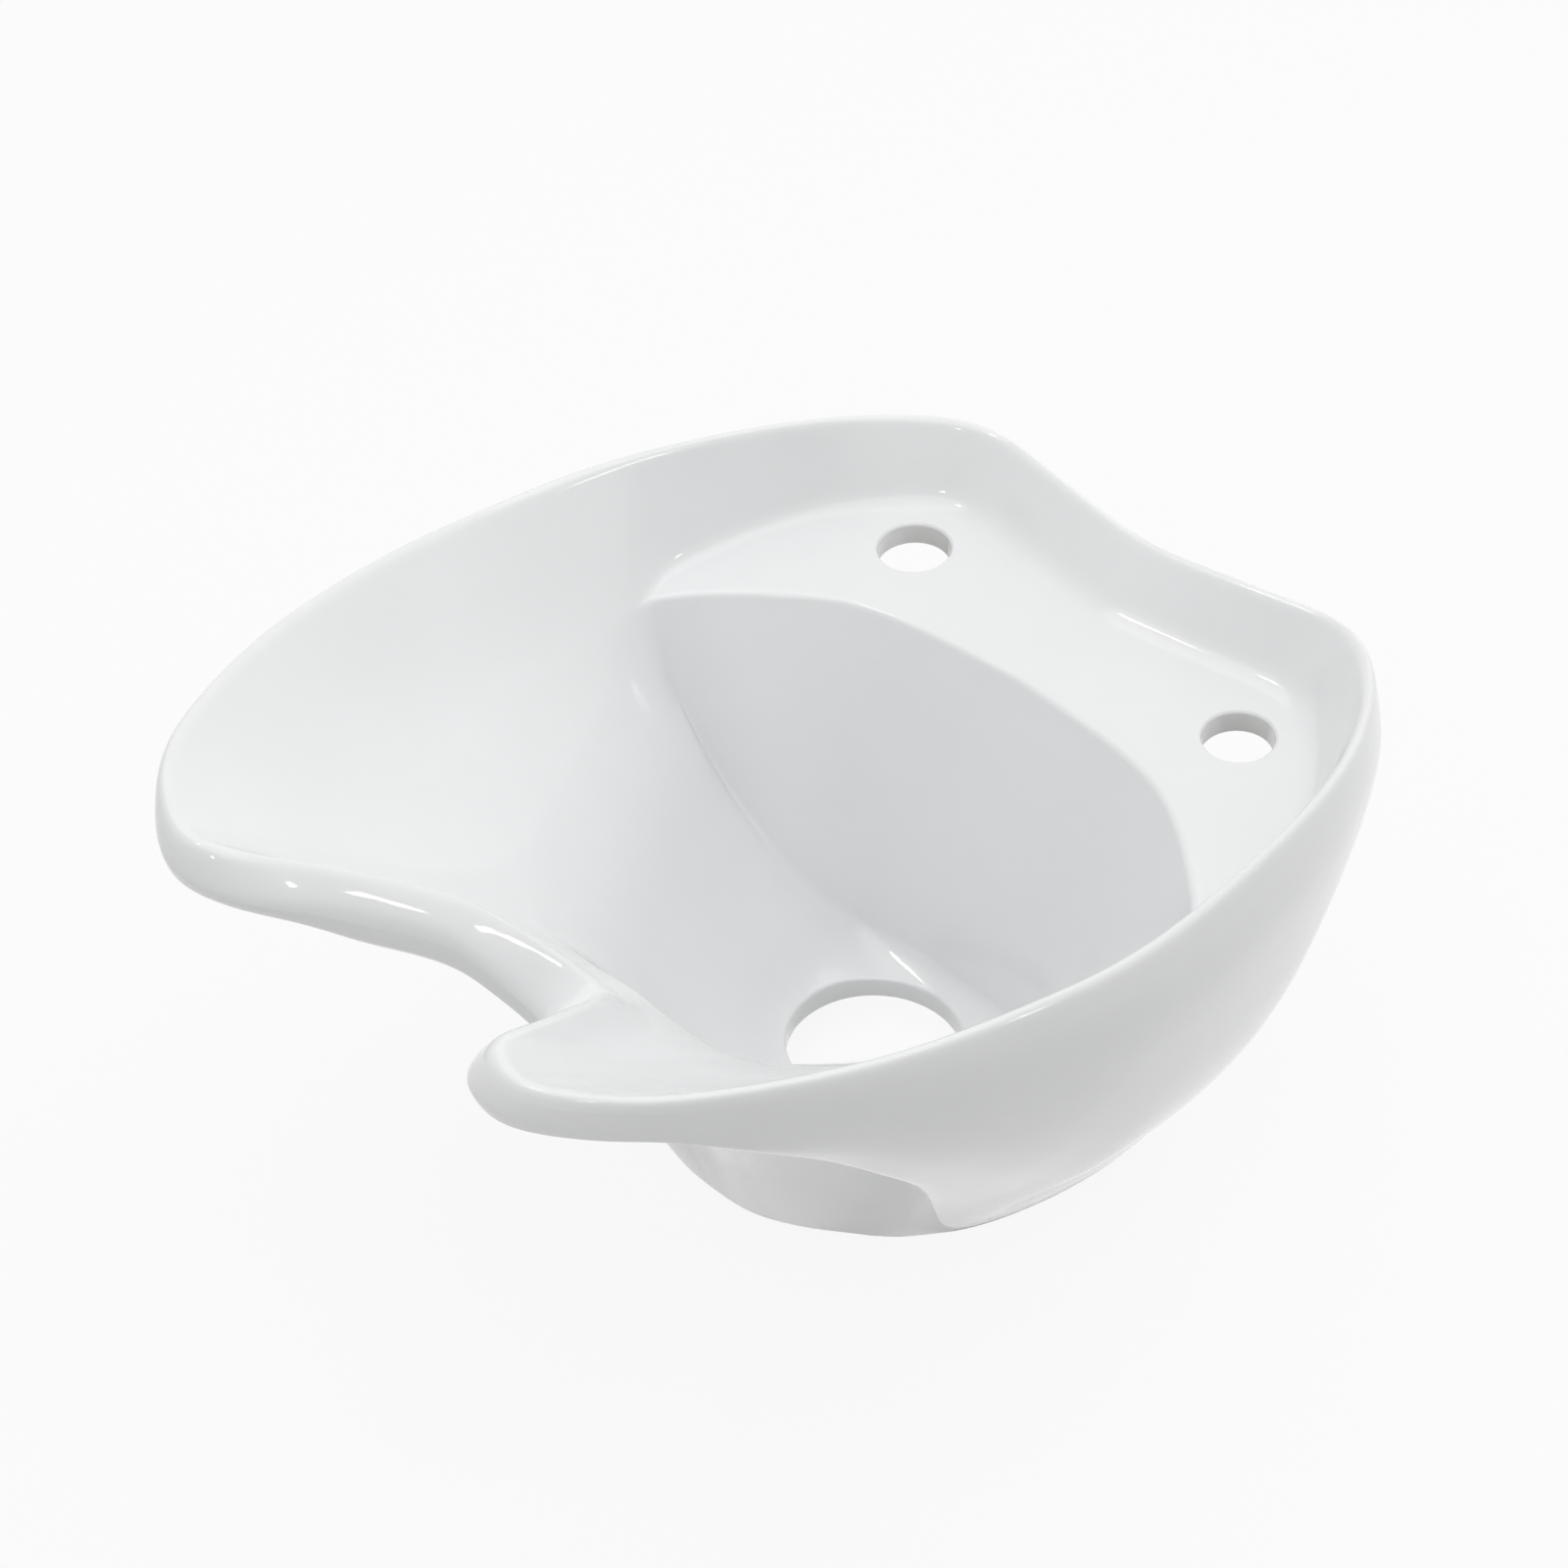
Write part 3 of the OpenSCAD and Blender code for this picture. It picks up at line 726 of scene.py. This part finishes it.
class FixingSettings(bpy.types.PropertyGroup):
    """Sizes and finishes of the threaded inserts."""

    across: length("Across", "Distance across the basin between the screws", 0.192, 0.18, 0.2)
    fore_aft: length("Fore and aft", "Distance between the front and rear screws", 0.040, 0.03, 0.05)
    insert_d: length("Insert", "Outside diameter of an insert", 0.012, 0.01, 0.014)
    insert_l: length("Length", "Length of an insert", 0.022, 0.018, 0.024)
    core_d: length("Core", "Core diameter of the thread", 0.0068, 0.004, 0.008)
    thread_d: length("Thread", "Outside diameter of the thread", 0.008, 0.005, 0.01)
    pitch: length("Pitch", "Pitch of the thread", 0.00125, 0.0007, 0.002)
    brass_colour: colour("Brass", "Colour of the inserts", (0.78, 0.57, 0.26))
    resin_colour: colour("Resin", "Colour of the bedding", (0.55, 0.54, 0.50))


class StudioSettings(bpy.types.PropertyGroup):
    """Floor, light and camera."""

    floor_colour: colour("Floor", "Colour of the floor", (0.70, 0.70, 0.70))
    key_power: FloatProperty(name="Key", description="Power of the overhead light", default=14.5, min=0.0,
                             unit="POWER")
    fill_power: FloatProperty(name="Fill", description="Power of the lights round the basin", default=10.0,
                              min=0.0, unit="POWER")
    spark_power: FloatProperty(name="Spark", description="Power of each small bright light", default=1.0,
                               min=0.0, unit="POWER")
    sky: FloatProperty(name="Sky", description="Strength of the even light from all round", default=0.22,
                       min=0.0)
    camera_at: FloatVectorProperty(name="Camera", description="Place of the camera", size=3,
                                   default=(0.9473, -1.0026, 1.3354), subtype="TRANSLATION", unit="LENGTH")
    camera_down: FloatProperty(name="Tilt", description="Angle of the view below the horizon",
                               default=math.radians(39.8), subtype="ANGLE", unit="ROTATION")
    camera_turn: FloatProperty(name="Turn", description="Angle of the view from straight ahead",
                               default=math.radians(45.2), subtype="ANGLE", unit="ROTATION")
    lens: FloatProperty(name="Lens", description="Focal length on a 36 mm frame", default=90.0, min=20.0)


# Operators.


class BASIN_OT_bowl(bpy.types.Operator):
    """Builds the glazed china bowl with its bosses, waste hole and tap holes"""

    bl_idname = "basin.bowl"
    bl_label = "China bowl"

    def execute(self, context):
        p = context.scene.basin_china
        edge = p.bore_edge / MM
        points, quads, glaze = shell_mesh(p.stations, edge)
        bowl = new_object("china_bowl", [(points, quads)], china_material(p))
        layer = bowl.data.attributes.new("glaze", "FLOAT", "POINT")
        layer.data.foreach_set("value", glaze.astype(np.float32))
        cut_out(bowl, [tap_hole_cutter(x, r, edge) for x, r in TAPS], "tap_holes")
        self.glaze_bores(bowl.data)
        bosses = new_object("bosses", self.bosses(context.scene.basin_fixings), bowl.data.materials[0])
        for made in (bowl, bosses):
            made.data.shade_smooth()
            made.data.set_sharp_from_angle(angle=math.radians(35))
        with context.temp_override(active_object=bowl, selected_editable_objects=[bowl, bosses]):
            bpy.ops.object.join()
        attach(bowl, "root")
        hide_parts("bowl")
        return {"FINISHED"}

    def glaze_bores(self, mesh):
        """Glazes the points that cutting the tap holes has made."""
        place = np.empty(3 * len(mesh.vertices))
        mesh.vertices.foreach_get("co", place)
        place = place.reshape(-1, 3) / MM
        glaze = np.empty(len(place), np.float32)
        layer = mesh.attributes["glaze"]
        layer.data.foreach_get("value", glaze)
        past_mouth = 4
        for x, r in TAPS:
            glaze[np.hypot(place[:, 0] - x, place[:, 1] - TAP_Y) < r + past_mouth] = 1
        layer.data.foreach_set("value", glaze)

    def bosses(self, f):
        """The four bosses, and the webs that tie the rear pair to the skirt."""
        parts = []
        soft = 2.5
        profile = [(0, SOCKET_DEPTH), (SOCKET_R, SOCKET_DEPTH), (SOCKET_R, 0), (BOSS_R - 1, 0), (BOSS_R, 1)]
        profile += arc((BOSS_R - soft, BOSS_H - soft), soft, 0, 90, 6) + [(0, BOSS_H)]
        for x in (-0.5, 0.5):
            for y in (-0.5, 0.5):
                parts.append(lathe(profile, 64, (x * f.across / MM, y * f.fore_aft / MM)))
            inner, outer = sorted((x * f.across / MM + math.copysign(SOCKET_R + 2, x),
                                   x * f.across / MM + math.copysign(WEB_L, x)))
            y = f.fore_aft / MM / 2
            parts.append(box_mesh((inner, y - WALL / 2, 0), (outer, y + WALL / 2, BOSS_H)))
        return parts


def repeat_tree():
    """Geometry nodes that set one piece at the four fixing points."""
    tree = bpy.data.node_groups.new("at_fixing_points", "GeometryNodeTree")
    face = tree.interface
    face.new_socket("Geometry", in_out="INPUT", socket_type="NodeSocketGeometry")
    for name in ("Across", "Fore and aft"):
        face.new_socket(name, in_out="INPUT", socket_type="NodeSocketFloat")
    face.new_socket("Finish", in_out="INPUT", socket_type="NodeSocketMaterial")
    face.new_socket("Geometry", in_out="OUTPUT", socket_type="NodeSocketGeometry")
    nodes, link = tree.nodes, tree.links.new
    into, out = nodes.new("NodeGroupInput"), nodes.new("NodeGroupOutput")
    grid = nodes.new("GeometryNodeMeshGrid")
    grid.inputs["Vertices X"].default_value = 2
    grid.inputs["Vertices Y"].default_value = 2
    link(into.outputs["Across"], grid.inputs["Size X"])
    link(into.outputs["Fore and aft"], grid.inputs["Size Y"])
    spread = nodes.new("GeometryNodeInstanceOnPoints")
    link(grid.outputs["Mesh"], spread.inputs["Points"])
    link(into.outputs["Geometry"], spread.inputs["Instance"])
    real = nodes.new("GeometryNodeRealizeInstances")
    link(spread.outputs["Instances"], real.inputs["Geometry"])
    finish = nodes.new("GeometryNodeSetMaterial")
    link(real.outputs["Geometry"], finish.inputs["Geometry"])
    link(into.outputs["Finish"], finish.inputs["Material"])
    link(finish.outputs["Geometry"], out.inputs["Geometry"])
    return tree


def at_fixing_points(obj, f):
    """Repeats an object at the four fixing points, as one plain mesh."""
    tree = bpy.data.node_groups.get("at_fixing_points") or repeat_tree()
    spread = obj.modifiers.new("at_fixing_points", "NODES")
    spread.node_group = tree
    sockets = {s.name: s.identifier for s in tree.interface.items_tree if s.in_out == "INPUT"}
    spread[sockets["Across"]] = f.across
    spread[sockets["Fore and aft"]] = f.fore_aft
    spread[sockets["Finish"]] = obj.data.materials[0]
    return applied(obj)


class BASIN_OT_inserts(bpy.types.Operator):
    """Builds the threaded brass inserts"""

    bl_idname = "basin.inserts"
    bl_label = "Threaded inserts"

    def execute(self, context):
        f = context.scene.basin_fixings
        r, high = f.insert_d / MM / 2, f.insert_l / MM
        core, major, pitch = f.core_d / MM / 2, f.thread_d / MM / 2, f.pitch / MM
        end_wall, cone, tip = 3, 1.6, 0.02
        depth = high - end_wall
        count, per_turn = 48, 8
        around = 2 * math.pi * np.arange(count) / count
        countersink = major + 0.4
        thread = []
        for z in np.arange(0, depth + 0.001, pitch / per_turn):
            wave = np.abs(((z / pitch - around / (2 * math.pi)) % 1) * 2 - 1)
            thread.append((np.maximum(core + (major - core) * wave, countersink - z), z))
        soft, chamfer = 0.5, 1
        outside = arc((r - soft, soft), soft, -90, 0, 3)
        outside += [(r, high - chamfer), (r - chamfer, high), (tip, high)]
        rings = [(tip, depth + cone)] + thread[::-1] + outside
        points = np.vstack([
            np.column_stack([radius * np.cos(around), radius * np.sin(around), np.full(count, z)])
            for radius, z in rings
        ])
        rows = np.arange(len(rings) * count).reshape(-1, count)
        faces = []
        for lower, upper in zip(rows, rows[1:]):
            faces += np.column_stack([lower, np.roll(lower, -1), np.roll(upper, -1), upper]).tolist()
        faces += [rows[0][::-1].tolist(), rows[-1].tolist()]
        inserts = new_object("brass_inserts", [(points, faces)], brass_material(f))
        at_fixing_points(inserts, f)
        inserts.data.set_sharp_from_angle(angle=math.radians(30))
        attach(inserts, "root")
        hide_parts("threaded_inserts")
        return {"FINISHED"}


class BASIN_OT_bedding(bpy.types.Operator):
    """Builds the resin that holds the inserts"""

    bl_idname = "basin.bedding"
    bl_label = "Bedding"

    def execute(self, context):
        f = context.scene.basin_fixings
        r, high, sunk = f.insert_d / MM / 2, f.insert_l / MM, 0.9
        dip = [(mix(SOCKET_R, r, t), sunk * math.sin(math.pi * t)) for t in np.linspace(0, 1, 9)]
        profile = [(0, high), (r, high)] + dip[::-1] + [(SOCKET_R, SOCKET_DEPTH), (0, SOCKET_DEPTH)]
        bedding = new_object("insert_resin", [lathe(profile, 64)], resin_material(f))
        at_fixing_points(bedding, f)
        bedding.data.set_sharp_from_angle(angle=math.radians(40))
        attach(bedding, "root")
        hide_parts("insert_bedding")
        return {"FINISHED"}


# Sizes of the lamps in metres, then where the fill lamps stand and how strong each is.
SOFT_BOX_SIZE, FILL_SIZE, SPARK_SIZE = 2.0, 2.8, 0.16
FILLS = [((2.0, 0.2, 0.6), 0.1), ((0.8, 1.7, 1.0), 2.4), ((0.6, -1.7, 1.2), 1.25), ((-1.5, -0.6, 1.2), 0.7),
         ((-1.4, 1.2, 1.5), 1.3)]

# Where the small bright lamps stand that glint in the glaze.
SPARKS = [(-0.77, -0.31, 1.91), (0.42, -1.28, 1.54), (1.86, 0.87, 0.99)]


def area_light(name, place, aim, size, power):
    """A square lamp at place that points at aim."""
    lamp = bpy.data.lights.new(name, "AREA")
    lamp.shape, lamp.size, lamp.energy = "SQUARE", size, power
    made = bpy.data.objects.new(name, lamp)
    made.location = place
    made.rotation_euler = (Vector(aim) - made.location).to_track_quat("-Z", "Y").to_euler()
    bpy.context.collection.objects.link(made)
    return made


class BASIN_OT_studio(bpy.types.Operator):
    """Builds the white floor, the soft light and the camera"""

    bl_idname = "basin.studio"
    bl_label = "Studio"

    def execute(self, context):
        s = context.scene.basin_studio
        self.floor(s)
        self.sky(context.scene, s)
        area_light("soft_box", (0, 0.1, 1.9), (0, 0, 0.15), SOFT_BOX_SIZE, s.key_power)
        for number, place in enumerate(SPARKS):
            area_light("spark_%d" % number, place, (0, 0, 0.2), SPARK_SIZE, s.spark_power)
        for number, (place, share) in enumerate(FILLS):
            fill = area_light("fill_%d" % number, place, (0, 0, 0.15), FILL_SIZE, s.fill_power * share)
            fill.visible_glossy = False
        self.camera(context.scene, s)
        context.scene.view_settings.view_transform = "Standard"
        return {"FINISHED"}

    def floor(self, s):
        half = 6.0 / MM
        points = np.array([(-half, -half, 0), (half, -half, 0), (half, half, 0), (-half, half, 0)])
        material, place, shader = new_material("white_floor")
        shader.inputs["Base Color"].default_value = rgba(s.floor_colour)
        shader.inputs["Roughness"].default_value = 0.9
        white = place.node("ShaderNodeEmission", None, Color=(1, 1, 1, 1), Strength=1.0)
        both = place.node("ShaderNodeMixShader", None, Fac=seen_white(place.tree) * 0.9,
                          i1=Wire(place.tree, shader.outputs[0]), i2=Wire(place.tree, white.outputs[0]))
        end = place.tree.nodes["Material Output"]
        place.tree.links.new(both.outputs[0], end.inputs["Surface"])
        new_object("floor", [(points, [(0, 1, 2, 3)])], material)

    def sky(self, scene, s):
        world = scene.world or bpy.data.worlds.new("studio")
        scene.world = world
        world.use_nodes = True
        tree = world.node_tree
        light = tree.nodes.get("Background") or tree.nodes.new("ShaderNodeBackground")
        light.inputs["Color"].default_value = (1, 1, 1, 1)
        tree.links.new((s.sky + seen_white(tree) * (1 - s.sky)).socket, light.inputs["Strength"])

    def camera(self, scene, s):
        lens = bpy.data.cameras.new("photo_camera")
        lens.lens, lens.sensor_width = s.lens, 36.0
        camera = bpy.data.objects.new("photo_camera", lens)
        camera.location = s.camera_at
        e, a = s.camera_down, s.camera_turn
        view = Vector((-math.sin(a) * math.cos(e), math.cos(a) * math.cos(e), -math.sin(e)))
        camera.rotation_euler = view.to_track_quat("-Z", "Y").to_euler()
        bpy.context.collection.objects.link(camera)
        scene.camera = camera


class BASIN_PT_sidebar(bpy.types.Panel):
    """Lists the basin's pieces and their settings"""

    bl_idname = "BASIN_PT_sidebar"
    bl_label = "Shampoo basin"
    bl_space_type = "VIEW_3D"
    bl_region_type = "UI"
    bl_category = "Basin"

    def draw(self, context):
        groups = [
            (context.scene.basin_china, [BASIN_OT_bowl]),
            (context.scene.basin_fixings, [BASIN_OT_bedding, BASIN_OT_inserts]),
            (context.scene.basin_studio, [BASIN_OT_studio]),
        ]
        for settings, operators in groups:
            box = self.layout.box()
            for key in settings.__annotations__:
                box.prop(settings, key)
            for operator in operators:
                box.operator(operator.bl_idname)


SETTINGS = {"basin_china": ChinaSettings, "basin_fixings": FixingSettings, "basin_studio": StudioSettings}
OPERATORS = [BASIN_OT_bowl, BASIN_OT_bedding, BASIN_OT_inserts, BASIN_OT_studio]


def register():
    for kind in (*SETTINGS.values(), *OPERATORS, BASIN_PT_sidebar):
        bpy.utils.register_class(kind)
    for name, kind in SETTINGS.items():
        setattr(bpy.types.Scene, name, PointerProperty(type=kind))


def unregister():
    for name in SETTINGS:
        delattr(bpy.types.Scene, name)
    for kind in (BASIN_PT_sidebar, *reversed(OPERATORS), *SETTINGS.values()):
        bpy.utils.unregister_class(kind)


def main():
    register()
    bpy.ops.basin.bowl()
    bpy.ops.basin.bedding()
    bpy.ops.basin.inserts()
    bpy.ops.basin.studio()


if __name__ == "__main__":
    main()
